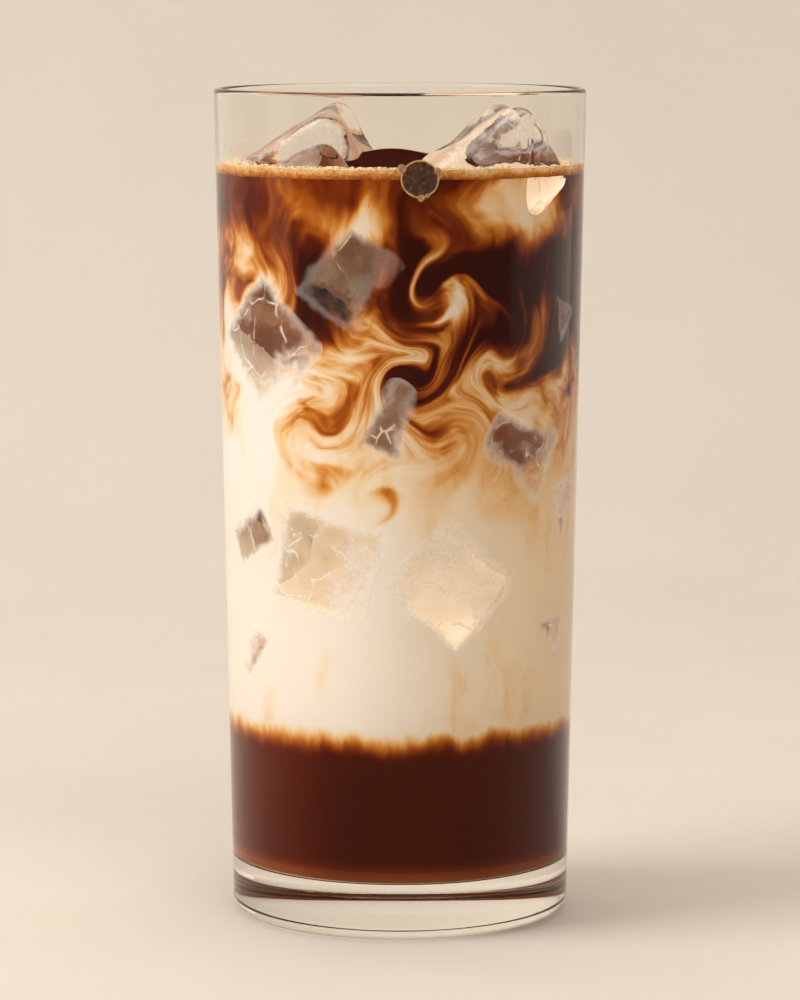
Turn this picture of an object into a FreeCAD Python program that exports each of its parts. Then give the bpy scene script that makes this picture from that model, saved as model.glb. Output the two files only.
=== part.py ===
"""Iced latte in a tall straight-sided glass, with ice floating in it.

Millimetres, +Z up.  The origin is the centre of the ring that the glass stands on.
-Y is the front.  Each piece is a closed solid of its own: the glass, the three
layers of the drink, the ring of froth on top and the ice cubes that stand out of it.
"""

import math
import os

import FreeCAD
import Part

V = FreeCAD.Vector
UP = V(0, 0, 1)

# ---- the glass
GLASS_HEIGHT = 150.0
RIM_RADIUS = 33.5           # outside, at the rim
BASE_RADIUS = 30.5          # outside, where the wall's line meets the table
RIM_WALL = 1.4
BASE_WALL = 2.0
BASE_THICKNESS = 10.0       # solid glass under the drink
HEEL_RADIUS = 3.2           # rounding of the outside bottom edge
WELL_RADIUS = 3.0           # rounding of the inside bottom edge
FOOT_RING = 2.6             # width of the flat ring that the glass stands on
PUNT_DEPTH = 0.9            # how far the underside is hollowed inside that ring

# ---- the drink
FREE_HEIGHT = 13.5          # from the coffee's surface up to the rim
LOWER_COFFEE = 26.6         # depth of the dark layer on the floor of the glass
LOWER_RIPPLE = 0.5          # height of the waves between it and the milk
LOWER_WAVES = 9             # how many of them go round
UPPER_COFFEE = 29.9         # mean depth of the swirled coffee above the milk
RIPPLE_GRID = 25            # points along each side of a layer's boundary

# The upper coffee sinks into the milk in plumes: turn round the glass in degrees
# from +X, distance from the axis, how far it sinks and how wide it is.
PLUMES = (
    (-68.0, 24.0, 15.0, 10.0),
    (-28.0, 26.0, 9.0, 8.0),
    (35.0, 22.0, 13.0, 11.0),
    (110.0, 25.0, 11.0, 9.0),
    (-160.0, 27.0, -12.0, 10.0),
    (165.0, 20.0, 7.0, 9.0),
)

# ---- the froth
FROTH_RISE = 0.3            # how far the froth stands above the coffee
FROTH_DEPTH = 2.1           # its whole thickness at the wall
FROTH_WIDTH = 5.0           # mean width of the ring, from the wall inwards
FROTH_SHIFT = (1.3, 1.6)    # how far the hole in it lies off the axis, along X and Y
FROTH_EDGE = 0.9            # rounding of its inner edge

# ---- the floating ice
ICE_TAPER = 0.07            # a moulded cube narrows by this share along its own Y axis
ICE_CLEAR = 0.6             # film of drink between a floating cube and the glass

# name: size along its own X, Y and Z, centre relative to the coffee's surface,
# turns about Z, Y and X, rounding
FLOATING_ICE = {
    "ice_left": ((23.6, 23.0, 20.0), (-16.4, 8.6, -3.3), (-12.0, -29.0, 7.0), 3.2),
    "ice_front": ((15.0, 15.0, 15.0), (-15.4, -15.9, -5.9), (35.3, -21.1, -35.3), 3.2),
    "ice_right": ((20.8, 21.4, 18.0), (16.5, -13.2, -1.3), (8.0, -36.0, 2.0), 3.0),
    "ice_back": ((15.5, 15.0, 15.5), (21.8, 10.2, -3.3), (-6.0, -14.0, 8.0), 2.6),
}

# ---- worked out from the above
WIDEST = max(RIM_RADIUS, BASE_RADIUS)
COFFEE_LEVEL = GLASS_HEIGHT - FREE_HEIGHT
FROTH_TOP = COFFEE_LEVEL + FROTH_RISE
LOWER_LEVEL = BASE_THICKNESS + LOWER_COFFEE
UPPER_LEVEL = COFFEE_LEVEL - UPPER_COFFEE


def outer_radius(z):
    """Outside radius of the glass's wall at height z."""
    return BASE_RADIUS + (RIM_RADIUS - BASE_RADIUS) * z / GLASS_HEIGHT


def inner_radius(z):
    """Inside radius of the glass's wall at height z."""
    wall = BASE_WALL + (RIM_WALL - BASE_WALL) * z / GLASS_HEIGHT
    return outer_radius(z) - wall


def spun(edges):
    """Solid of revolution about Z from edges that close an outline in the XZ plane."""
    wire = Part.Wire(Part.__sortEdges__(edges))
    return Part.Face(wire).revolve(V(), UP, 360)


def line(a, b):
    return Part.LineSegment(V(a[0], 0, a[1]), V(b[0], 0, b[1])).toShape()


def arc(a, through, b):
    points = [V(p[0], 0, p[1]) for p in (a, through, b)]
    return Part.Arc(*points).toShape()


def rounded_corner(corner, along, towards, radius):
    """Start, middle and end of the arc that rounds a corner of an outline.

    along and towards are points on the lines that meet there.
    """
    c = V(corner[0], 0, corner[1])
    first = (V(along[0], 0, along[1]) - c).normalize()
    second = (V(towards[0], 0, towards[1]) - c).normalize()
    half = first.getAngle(second) / 2
    bisector = (first + second).normalize()
    centre = c + bisector * (radius / math.sin(half))
    reach = radius / math.tan(half)
    middle = centre - bisector * radius
    ends = (c + first * reach, middle, c + second * reach)
    return [(p.x, p.z) for p in ends]


def make_glass():
    """Tumbler: thick base on a foot ring, thin wall and a round fire-polished rim."""
    lip = RIM_WALL / 2
    lip_height = GLASS_HEIGHT - lip
    outer_lip = (outer_radius(lip_height), lip_height)
    inner_lip = (inner_radius(lip_height), lip_height)
    crest = ((outer_lip[0] + inner_lip[0]) / 2, GLASS_HEIGHT)

    heel = rounded_corner((BASE_RADIUS, 0), (0, 0), outer_lip, HEEL_RADIUS)
    floor = (0, BASE_THICKNESS)
    well = rounded_corner((inner_radius(BASE_THICKNESS), BASE_THICKNESS), inner_lip, floor, WELL_RADIUS)

    foot_inner = (heel[0][0] - FOOT_RING, 0)
    punt_edge = (foot_inner[0] - PUNT_DEPTH, PUNT_DEPTH / 2)
    punt_top = (0, PUNT_DEPTH)
    return spun([
        line(punt_top, punt_edge),
        line(punt_edge, foot_inner),
        line(foot_inner, heel[0]),
        arc(*heel),
        line(heel[2], outer_lip),
        arc(outer_lip, crest, inner_lip),
        line(inner_lip, well[0]),
        arc(*well),
        line(well[2], floor),
        line(floor, punt_top),
    ])


def inside_of_glass(top, clear=0.0):
    """The space inside the glass up to the height top, less a film of width clear at the wall."""
    wall_top = (inner_radius(top) - clear, top)
    corner = (inner_radius(BASE_THICKNESS) - clear, BASE_THICKNESS)
    floor = (0, BASE_THICKNESS)
    well = rounded_corner(corner, wall_top, floor, WELL_RADIUS)
    return spun([
        line(floor, well[2]),
        arc(*well),
        line(well[0], wall_top),
        line(wall_top, (0, top)),
        line((0, top), floor),
    ])


def ice_cube(size, offset, turns, rounding):
    """Moulded cube with melted edges, flattened where it lies along the glass."""
    a, b, c = (s / 2 for s in size)
    narrow = 1 - ICE_TAPER
    cube = Part.makeWedge(-a, -b, -c, -c * narrow, -a * narrow, a, b, c, c * narrow, a * narrow)
    cube = cube.makeFillet(rounding, cube.Edges)
    centre = V(offset[0], offset[1], COFFEE_LEVEL + offset[2])
    cube.Placement = FreeCAD.Placement(centre, FreeCAD.Rotation(*turns))
    return cube.common(inside_of_glass(GLASS_HEIGHT, ICE_CLEAR))


def lower_boundary(x, y):
    """Height of the line between the dark layer and the milk."""
    turn = math.atan2(y, x)
    reach = math.hypot(x, y) / inner_radius(LOWER_LEVEL)
    wave = math.sin(LOWER_WAVES * turn)
    return LOWER_LEVEL + LOWER_RIPPLE * wave * min(reach, 1.0) ** 2


def upper_boundary(x, y):
    """Height of the line between the milk and the upper coffee, lowered by each plume."""
    height = UPPER_LEVEL
    for turn, reach, sink, width in PLUMES:
        a = math.radians(turn)
        away = math.hypot(x - reach * math.cos(a), y - reach * math.sin(a))
        height -= sink * math.exp(-((away / width) ** 2))
    return height


def all_above(boundary):
    """Solid from a boundary's wavy surface, as wide as the glass, up to over the rim."""
    steps = [WIDEST * (2 * i / (RIPPLE_GRID - 1) - 1) for i in range(RIPPLE_GRID)]
    surface = Part.BSplineSurface()
    surface.interpolate([[V(x, y, boundary(x, y)) for y in steps] for x in steps])
    return surface.toShape().extrude(UP * GLASS_HEIGHT)


def make_froth(ice):
    """Ring of pale froth along the wall, wider on one side, cut by the ice."""
    hole_radius = inner_radius(FROTH_TOP) - FROTH_WIDTH
    hole = Part.makeCylinder(hole_radius, GLASS_HEIGHT, V(*FROTH_SHIFT, 0))
    below = Part.makeCylinder(WIDEST, FROTH_TOP - FROTH_DEPTH)
    ring = cut_round(inside_of_glass(FROTH_TOP), [below, hole])
    lips = [e for e in ring.Edges if is_circle(e, hole_radius)]
    return cut_round(ring.makeFillet(FROTH_EDGE, lips), ice.values())


def is_circle(edge, radius):
    return isinstance(edge.Curve, Part.Circle) and math.isclose(edge.Curve.Radius, radius)


def cut_round(shape, others):
    for other in others:
        shape = shape.cut(other)
    return shape


def make_drink(ice, froth):
    """The dark layer, the milk and the upper coffee, cut round the ice and the froth."""
    drink = cut_round(inside_of_glass(COFFEE_LEVEL), [*ice.values(), froth])
    above_lower = all_above(lower_boundary)
    above_upper = all_above(upper_boundary)
    return {
        "coffee_lower": drink.cut(above_lower),
        "milk": drink.common(above_lower).cut(above_upper),
        "coffee_upper": drink.common(above_upper),
    }


def main():
    os.makedirs("parts", exist_ok=True)
    ice = {name: ice_cube(*values) for name, values in FLOATING_ICE.items()}
    froth = make_froth(ice)
    nodes = {"glass": make_glass(), "froth": froth, **ice, **make_drink(ice, froth)}
    for name, shape in nodes.items():
        shape.exportStep(f"parts/{name}.step")
        print(name, len(shape.Solids), round(shape.Volume, 1), shape.isValid())


main()
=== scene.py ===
"""Iced latte in a tall straight-sided glass: the looks of every piece.

Sizes are in millimetres, +Z up, -Y the front, as in the part's own source.  Meshes are
made in metres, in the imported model's frame, so every piece lies where its solid lies.
"""

import math

import bmesh
import bpy
import numpy as np
from mathutils import Euler, Matrix, Vector, noise


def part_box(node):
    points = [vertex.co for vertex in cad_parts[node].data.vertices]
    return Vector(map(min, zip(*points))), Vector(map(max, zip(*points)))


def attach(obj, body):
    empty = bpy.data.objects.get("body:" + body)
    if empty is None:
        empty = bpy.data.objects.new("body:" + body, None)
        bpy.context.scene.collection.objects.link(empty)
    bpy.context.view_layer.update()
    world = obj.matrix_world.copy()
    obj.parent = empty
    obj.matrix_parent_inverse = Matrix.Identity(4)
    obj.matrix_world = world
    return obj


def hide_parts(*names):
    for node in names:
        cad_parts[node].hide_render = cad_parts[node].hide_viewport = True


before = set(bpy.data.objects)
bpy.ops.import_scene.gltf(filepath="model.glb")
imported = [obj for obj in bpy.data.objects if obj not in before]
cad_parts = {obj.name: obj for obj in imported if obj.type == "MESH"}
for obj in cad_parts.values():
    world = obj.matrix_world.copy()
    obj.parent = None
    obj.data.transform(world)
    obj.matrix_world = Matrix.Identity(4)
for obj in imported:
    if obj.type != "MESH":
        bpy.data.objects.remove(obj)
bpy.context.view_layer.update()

MM = 0.001


def low(node):
    """Height of a solid's lowest point."""
    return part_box(node)[0][2] / MM


def high(node):
    """Height of a solid's highest point."""
    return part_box(node)[1][2] / MM


# ---- the glass
RIM_HEIGHT = high("glass")
FLOOR = low("coffee_lower")
RIM_RADIUS = 33.5
BASE_RADIUS = 30.5
RIM_WALL = 1.4
BASE_WALL = 2.0
HEEL_RADIUS = 3.2
WELL_RADIUS = 3.0
FOOT_RING = 2.6
PUNT_DEPTH = 0.9
TURNED_SIDES = 256          # flats round a turned piece

# ---- the drink
COFFEE_LEVEL = high("coffee_upper")
LOWER_LEVEL = high("coffee_lower") - 0.5
FROTH_TOP = high("froth")
FROTH_BOTTOM = low("froth")
FROTH_WIDTH = 5.0

# What fills the glass reaches a little into the wall, so that no air shows between them.
DRINK_REACH = 0.10
ICE_REACH = 0.15
FROTH_REACH = 0.20
WALL_BUBBLE_REACH = 0.28
ICE_CLEAR = 0.6             # above the drink, ice stays this far from the glass
CAVITY_GAP = 0.10           # the hole in the drink is this much smaller than its ice

# Ice, as it was moulded: size along its own axes, centre, turns about Z, Y and X, rounding.
# Of the floating cubes, the centre's height is counted from the coffee's surface.
ICE_TAPER = 0.07
FLOATING_SQUARES = 26       # along each edge of a floating cube's mesh
SUNK_SQUARES = 18
CUTTER_SQUARES = 16
FLOATING_WHITENESS = 0.4    # how white floating ice turns at most
FLOATING_ICE = {
    "ice_left": ((23.6, 23.0, 20.0), (-16.4, 8.6, -3.3), (-12.0, -29.0, 7.0), 3.2),
    "ice_front": ((15.0, 15.0, 15.0), (-15.4, -15.9, -5.9), (35.3, -21.1, -35.3), 3.2),
    "ice_right": ((20.8, 21.4, 18.0), (16.5, -13.2, -1.3), (8.0, -36.0, 2.0), 3.0),
    "ice_back": ((15.5, 15.0, 15.5), (21.8, 10.2, -3.3), (-6.0, -14.0, 8.0), 2.6),
}
# Of the sunk cubes: the height, the turn round the glass in degrees from +X, how far the
# centre lies in from the wall, the size, the turns, and the strength of coffee behind it.
SUNK_ICE = (
    (117.5, -107.0, 6.0, 18.0, (20.0, 30.0, 15.0), 0.86),
    (107.0, -141.0, 5.5, 20.0, (-20.0, 42.0, 20.0), 0.52),
    (93.0, -91.5, 6.4, 15.5, (38.0, 20.0, 10.0), 0.66),
    (71.5, -148.0, 5.2, 14.0, (12.0, 25.0, -35.0), 0.50),
    (67.5, -119.5, 6.0, 20.0, (-8.0, 12.0, 6.0), 0.15),
    (63.0, -71.5, 6.4, 20.0, (10.0, 43.0, -8.0), 0.20),
    (86.5, -45.0, 5.6, 17.5, (30.0, 28.0, 30.0), 0.50),
    (77.0, -21.0, 5.5, 13.5, (10.0, 18.0, 20.0), 0.45),
    (53.5, -29.0, 5.0, 11.5, (35.0, 10.0, 30.0), 0.45),
    (51.0, -150.0, 5.0, 11.0, (15.0, 8.0, 38.0), 0.30),
    (110.0, -26.0, 5.6, 12.0, (24.0, 35.0, 10.0), 0.80),
    (112.0, 60.0, 6.0, 18.0, (14.0, 38.0, 12.0), 0.60),
    (98.0, 110.0, 6.0, 17.0, (-25.0, 20.0, 8.0), 0.45),
    (73.0, 80.0, 6.0, 18.0, (15.0, 44.0, -10.0), 0.12),
    (60.0, 135.0, 5.6, 15.0, (30.0, 15.0, 25.0), 0.25),
    (64.0, 25.0, 5.6, 15.0, (-12.0, 30.0, 14.0), 0.20),
    (106.0, 165.0, 5.6, 14.0, (12.0, 36.0, -20.0), 0.50),
)

# Where stirring has turned the drink round: sideways, height, reach and turn in radians.
STIRS = (
    (7.0, 114.0, 6.0, 2.2),
    (2.0, 100.0, 5.0, -2.6),
    (-7.0, 107.0, 7.0, 1.6),
    (17.0, 105.0, 7.0, -1.9),
    (8.0, 91.0, 6.0, 1.9),
    (-4.0, 79.0, 4.0, 2.4),
    (-22.0, 113.0, 7.0, -1.3),
    (24.0, 96.0, 6.0, 1.6),
    (-15.0, 92.0, 7.0, -1.8),
    (5.0, 127.0, 5.0, 1.5),
    (15.0, 82.0, 6.0, -1.5),
    (-12.0, 84.0, 5.0, 1.5),
    (14.0, 126.0, 6.0, 1.4),
    (-14.0, 124.0, 6.0, -1.0),
    (-24.0, 100.0, 5.0, 1.2),
)
# Coffee and milk that hang in one another: sideways, height, half width, half height,
# lean in degrees and how much coffee they add.
PLUMES = (
    (2.0, 127.0, 3.0, 11.0, 0.0, 0.34),
    (14.0, 116.0, 7.5, 7.0, 20.0, 0.42),
    (12.0, 103.0, 4.0, 9.0, -25.0, 0.45),
    (2.0, 99.0, 5.0, 2.2, -25.0, 0.55),
    (27.0, 116.0, 5.0, 13.0, 0.0, 0.22),
    (-30.0, 132.0, 5.0, 5.0, 0.0, 0.15),
    (9.0, 93.0, 3.0, 8.0, -10.0, 0.24),
    (-3.0, 78.0, 2.5, 2.0, 0.0, 0.40),
    (-11.0, 83.0, 6.0, 1.4, 20.0, 0.30),
    (-9.0, 117.0, 8.0, 4.5, -35.0, 0.24),
    (-17.0, 112.0, 10.0, 3.0, -25.0, -0.35),
    (6.5, 122.0, 1.4, 7.0, 15.0, -0.45),
    (8.0, 111.0, 4.0, 3.5, 0.0, -0.70),
    (-25.0, 105.0, 6.0, 9.0, 0.0, -0.50),
    (-8.5, 128.5, 5.0, 3.0, 20.0, -0.48),
    (-6.0, 100.0, 9.0, 7.0, 0.0, -0.22),
    (21.0, 98.0, 5.0, 7.0, 0.0, -0.15),
    (20.0, 128.5, 7.0, 6.0, 0.0, -0.62),
    (-28.0, 120.0, 4.0, 7.0, 0.0, -0.30),
    (-25.0, 88.0, 8.0, 10.0, 0.0, -0.30),
    (20.0, 84.0, 9.0, 9.0, 0.0, 0.14),
    (6.0, 84.0, 5.0, 7.0, 0.0, 0.14),
    (-14.0, 96.0, 7.0, 5.0, 0.0, 0.12),
)


def outer_radius(z):
    return BASE_RADIUS + (RIM_RADIUS - BASE_RADIUS) * z / RIM_HEIGHT


def inner_radius(z):
    return outer_radius(z) - BASE_WALL - (RIM_WALL - BASE_WALL) * z / RIM_HEIGHT


def srgb(red, green, blue):
    """A colour given in the usual 0 to 255 steps, as a shader wants it."""
    steps = [c / 255 for c in (red, green, blue)]
    return (*[c / 12.92 if c <= 0.04045 else ((c + 0.055) / 1.055) ** 2.4 for c in steps], 1.0)


# ======== Making meshes


def make_piece(name, points, faces, smooth_below=40.0):
    """An object from points in millimetres.  Edges sharper than smooth_below stay sharp."""
    mesh = bpy.data.meshes.new(name)
    mesh.from_pydata([tuple(p) for p in np.asarray(points, float) * MM], [], faces)
    mesh.validate()
    mesh.shade_smooth()
    mesh.set_sharp_from_angle(angle=math.radians(smooth_below))
    piece = bpy.data.objects.new(name, mesh)
    bpy.context.scene.collection.objects.link(piece)
    return piece


def held(outline, reach=0.3):
    """The outline with points close to both ends of its long straight runs, so that
    smooth shading stays true along them."""
    points = [outline[0]]
    for a, b in zip(outline, outline[1:]):
        a, b = Vector(a), Vector(b)
        length = (b - a).length
        if length > 4 * reach:
            points += [tuple(a.lerp(b, reach / length)), tuple(b.lerp(a, reach / length))]
        points.append(tuple(b))
    return points


def turned(name, outline, smooth_below=40.0):
    """A turned solid.  The outline's (radius, height) points run with the solid on their
    left as seen with the axis on the left: up the outside and back to the axis inside."""
    turns = np.linspace(0, 2 * math.pi, TURNED_SIDES, endpoint=False)
    points, rings = [], []
    outline = held(outline)
    for radius, height in outline:
        if radius < 1e-6:
            rings.append([len(points)] * TURNED_SIDES)
            points.append((0.0, 0.0, height))
        else:
            rings.append(list(range(len(points), len(points) + TURNED_SIDES)))
            points += [(radius * math.cos(t), radius * math.sin(t), height) for t in turns]
    joined = list(zip(rings, rings[1:]))
    if outline[0][0] > 1e-6:
        joined.append((rings[-1], rings[0]))
    faces = []
    for below, above in joined:
        for i in range(TURNED_SIDES):
            j = (i + 1) % TURNED_SIDES
            corner = [below[i], below[j], above[j], above[i]]
            face = [c for k, c in enumerate(corner) if c != corner[k - 1]]
            if len(face) > 2:
                faces.append(face)
    return make_piece(name, points, faces, smooth_below)


def rounded(before, corner, after, radius, steps=10):
    """Points along the arc that rounds an outline's corner."""
    c = Vector(corner)
    first = (Vector(before) - c).normalized()
    second = (Vector(after) - c).normalized()
    half = first.angle(second) / 2
    middle = c + (first + second).normalized() * (radius / math.sin(half))
    start = c + first * (radius / math.tan(half)) - middle
    end = c + second * (radius / math.tan(half)) - middle
    arc = [start.slerp(end, i / steps).normalized() * radius for i in range(steps + 1)]
    return [tuple(middle + a) for a in arc]


def finished(piece):
    """Turns the piece's modifiers into plain mesh."""
    evaluated = piece.evaluated_get(bpy.context.evaluated_depsgraph_get())
    mesh = bpy.data.meshes.new_from_object(evaluated)
    piece.modifiers.clear()
    old = piece.data
    piece.data = mesh
    mesh.name = piece.name
    bpy.data.meshes.remove(old)
    return piece


def carve(piece, tool, operation="DIFFERENCE"):
    """Cuts the tool out of the piece, or keeps what the two share."""
    carving = piece.modifiers.new("carve", "BOOLEAN")
    carving.object = tool
    carving.operation = operation
    carving.solver = "MANIFOLD"
    return finished(piece)


def read_points(piece):
    co = np.empty(len(piece.data.vertices) * 3)
    piece.data.vertices.foreach_get("co", co)
    return co.reshape(-1, 3)


def write_points(piece, co):
    piece.data.vertices.foreach_set("co", co.ravel())
    piece.data.update()


def coat(piece, *finishes):
    """Gives the piece its finishes; a single one covers all of it."""
    if len(finishes) == 1:
        piece.data.materials.clear()
        piece.data.polygons.foreach_set("material_index", [0] * len(piece.data.polygons))
    for finish in finishes:
        piece.data.materials.append(finish)


def crisp(piece, below):
    """Smooth shading, but sharp along edges that bend more than below degrees."""
    piece.data.shade_smooth()
    piece.data.set_sharp_from_angle(angle=math.radians(below))
    return piece


def twin(piece, name):
    """A second piece with a mesh of its own."""
    other = piece.copy()
    other.data = piece.data.copy()
    other.name = name
    bpy.context.scene.collection.objects.link(other)
    return other


def store(piece, name, values, kind="FLOAT", on="POINT"):
    """Keeps a value with each point or face, for the finishes to read."""
    marks = piece.data.attributes.new(name, kind, on)
    marks.data.foreach_set("vector" if kind == "FLOAT_VECTOR" else "value", values)


def drop(*pieces):
    """Removes tools that have done their work."""
    for piece in pieces:
        mesh = piece.data
        bpy.data.objects.remove(piece)
        bpy.data.meshes.remove(mesh)


def joined(name, pieces):
    """One object from several."""
    with bpy.context.temp_override(active_object=pieces[0], selected_editable_objects=pieces):
        bpy.ops.object.join()
    pieces[0].name = name
    pieces[0].data.name = name
    return pieces[0]


# ======== Shader recipes


class Recipe:
    """Adds nodes to one tree and joins them, so that a finish reads as a list of steps."""

    def __init__(self, tree):
        self.tree = tree

    def add(self, kind, values=None, **settings):
        node = self.tree.nodes.new(kind)
        for key, value in settings.items():
            setattr(node, key, value)
        for key, value in (values or {}).items():
            self.feed(value, node.inputs[key])
        return node

    def feed(self, value, socket):
        if isinstance(value, bpy.types.NodeSocket):
            self.tree.links.new(value, socket)
        else:
            socket.default_value = value

    def math(self, operation, *values, clamp=False):
        node = self.add("ShaderNodeMath", dict(enumerate(values)), operation=operation)
        node.use_clamp = clamp
        return node.outputs[0]

    def plus(self, first, second, clamp=False):
        return self.math("ADD", first, second, clamp=clamp)

    def minus(self, first, second):
        return self.math("SUBTRACT", first, second)

    def times(self, first, second):
        return self.math("MULTIPLY", first, second)

    def over(self, first, second):
        return self.math("DIVIDE", first, second)

    def power(self, value, exponent):
        return self.math("POWER", value, exponent)

    def most(self, first, second):
        return self.math("MAXIMUM", first, second)

    def vector(self, operation, *values):
        node = self.add("ShaderNodeVectorMath", operation=operation)
        for i, value in enumerate(values):
            self.feed(value, node.inputs[i])
        return node.outputs["Value" if operation == "LENGTH" else "Vector"]

    def stretch(self, place, amount):
        return self.vector("MULTIPLY", place, amount)

    def colour(self, share, first, second):
        node = self.add("ShaderNodeMix", data_type="RGBA")
        for value, index in ((share, 0), (first, 6), (second, 7)):
            self.feed(value, node.inputs[index])
        return node.outputs[2]

    def grain(self, place, size, detail=2.0, roughness=0.5):
        """Noise whose lumps are about size millimetres across."""
        values = {"Vector": place, "Scale": 1.0 / size, "Detail": detail, "Roughness": roughness}
        return self.add("ShaderNodeTexNoise", values).outputs["Fac"]

    def cells(self, place, size, feature="F1"):
        values = {"Vector": place, "Scale": 1.0 / size}
        return self.add("ShaderNodeTexVoronoi", values, feature=feature).outputs["Distance"]

    def ease(self, value, start, end, first=0.0, last=1.0):
        """Goes smoothly from first to last as value goes from start to end."""
        values = {"Value": value, "From Min": start, "From Max": end, "To Min": first, "To Max": last}
        return self.add("ShaderNodeMapRange", values, interpolation_type="SMOOTHSTEP").outputs[0]

    def ramp(self, value, stops):
        node = self.add("ShaderNodeValToRGB", {"Fac": value})
        elements = node.color_ramp.elements
        while len(elements) < len(stops):
            elements.new(1.0)
        for element, (at, shade) in zip(elements, stops):
            element.position = at
            element.color = shade
        return node.outputs["Color"]

    def sway(self, value, noise_value, amount, clamp=False):
        """The value, moved up and down by a noise around its middle."""
        off_middle = self.minus(noise_value, 0.5)
        return self.math("MULTIPLY_ADD", off_middle, amount, value, clamp=clamp)

    def mark(self, name, kind="Fac"):
        """What the mesh stores at each point or face under this name."""
        return self.add("ShaderNodeAttribute", attribute_name=name).outputs[kind]

    def principled(self, values):
        return self.add("ShaderNodeBsdfPrincipled", values).outputs[0]

    def mix(self, share, first, second):
        """One shader where share is 0, the other where it is 1."""
        return self.add("ShaderNodeMixShader", {0: share, 1: first, 2: second}).outputs[0]

    def parts(self, place):
        return self.add("ShaderNodeSeparateXYZ", {0: place}).outputs

    def effect(self, group, **values):
        """Places a group and returns its outputs."""
        node = self.add("ShaderNodeGroup", node_tree=group)
        for key, value in values.items():
            self.feed(value, node.inputs[key.replace("_", " ").capitalize()])
        return node.outputs


SOCKETS = {"vector": "NodeSocketVector", "number": "NodeSocketFloat", "colour": "NodeSocketColor"}


def new_effect(name, inputs, outputs):
    """An empty shader group: the recipe to fill it, its input sockets and its output node."""
    group = bpy.data.node_groups.new(name, "ShaderNodeTree")
    for socket, kind in inputs.items():
        group.interface.new_socket(socket, in_out="INPUT", socket_type=SOCKETS[kind])
    for socket, kind in outputs.items():
        group.interface.new_socket(socket, in_out="OUTPUT", socket_type=SOCKETS[kind])
    recipe = Recipe(group)
    return recipe, recipe.add("NodeGroupInput").outputs, recipe.add("NodeGroupOutput").inputs


def new_finish(name):
    """A material with nothing in it but its output: the recipe and the output's socket."""
    finish = bpy.data.materials.new(name)
    finish.use_nodes = True
    finish.node_tree.nodes.clear()
    recipe = Recipe(finish.node_tree)
    surface = recipe.add("ShaderNodeOutputMaterial").inputs["Surface"]
    return finish, recipe, surface


def place_in_mm(recipe):
    """Where a point of the piece lies, in millimetres."""
    place = recipe.add("ShaderNodeTexCoord").outputs["Object"]
    return recipe.stretch(place, (1000.0, 1000.0, 1000.0))


# ---- colours, from pure milk to pure coffee
MILK_TO_COFFEE = (
    (0.00, srgb(248, 240, 231)),
    (0.12, srgb(247, 227, 198)),
    (0.25, srgb(241, 202, 148)),
    (0.38, srgb(227, 165, 90)),
    (0.50, srgb(202, 123, 42)),
    (0.62, srgb(170, 87, 18)),
    (0.74, srgb(134, 56, 9)),
    (0.86, srgb(98, 29, 4)),
    (1.00, srgb(54, 8, 2)),
)


# What shows through ice in the drink is the same drink, greyed by the ice in front of it.
BEHIND_ICE = (
    (0.00, srgb(238, 228, 211)),
    (0.30, srgb(220, 202, 178)),
    (0.50, srgb(188, 144, 108)),
    (0.68, srgb(142, 82, 46)),
    (0.84, srgb(100, 44, 14)),
    (1.00, srgb(50, 15, 5)),
)


def stir_effect():
    """Turns the place round an upright point, most at the centre and less outwards."""
    recipe, given, result = new_effect(
        "stir",
        {"Place": "vector", "Centre": "vector", "Reach": "number", "Turn": "number"},
        {"Place": "vector"},
    )
    away = recipe.vector("SUBTRACT", given["Place"], given["Centre"])
    away = recipe.stretch(away, (1.0, 0.0, 1.0))
    share = recipe.over(recipe.vector("LENGTH", away), given["Reach"])
    share = recipe.math("EXPONENT", recipe.times(recipe.times(share, share), -1.0))
    values = {
        "Vector": given["Place"],
        "Center": given["Centre"],
        "Angle": recipe.times(share, given["Turn"]),
    }
    turned_place = recipe.add("ShaderNodeVectorRotate", values, rotation_type="Y_AXIS")
    recipe.feed(turned_place.outputs[0], result["Place"])
    return recipe.tree


def plume_effect():
    """One soft-edged hanging blot: 1 inside it and 0 outside."""
    recipe, given, result = new_effect(
        "plume",
        {"Place": "vector", "Centre": "vector", "Half width": "number", "Half height": "number",
         "Lean": "number"},
        {"Share": "number"},
    )
    away = recipe.vector("SUBTRACT", given["Place"], given["Centre"])
    values = {"Vector": away, "Angle": given["Lean"]}
    away = recipe.add("ShaderNodeVectorRotate", values, rotation_type="Y_AXIS").outputs[0]
    x, _, z = recipe.parts(away)
    across = recipe.power(recipe.over(x, given["Half width"]), 2.0)
    along = recipe.power(recipe.over(z, given["Half height"]), 2.0)
    far = recipe.plus(across, along)
    share = recipe.math("EXPONENT", recipe.times(recipe.power(far, 1.5), -0.8))
    recipe.feed(share, result["Share"])
    return recipe.tree


def drift_effect():
    """Moves the place by soft noise, as currents do."""
    recipe, given, result = new_effect(
        "drift",
        {"Place": "vector", "Size": "number", "Amount": "number"},
        {"Place": "vector"},
    )
    values = {
        "Vector": recipe.stretch(given["Place"], (1.0, 1.0, 0.7)),
        "Scale": recipe.over(1.0, given["Size"]),
        "Detail": 1.0,
        "Roughness": 0.4,
    }
    push = recipe.add("ShaderNodeTexNoise", values).outputs["Color"]
    push = recipe.vector("SUBTRACT", push, (0.5, 0.5, 0.5))
    push = recipe.vector("SCALE", push)
    scale = push.node.inputs["Scale"]
    recipe.feed(recipe.times(given["Amount"], 2.0), scale)
    recipe.feed(recipe.vector("ADD", given["Place"], push), result["Place"])
    return recipe.tree


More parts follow.
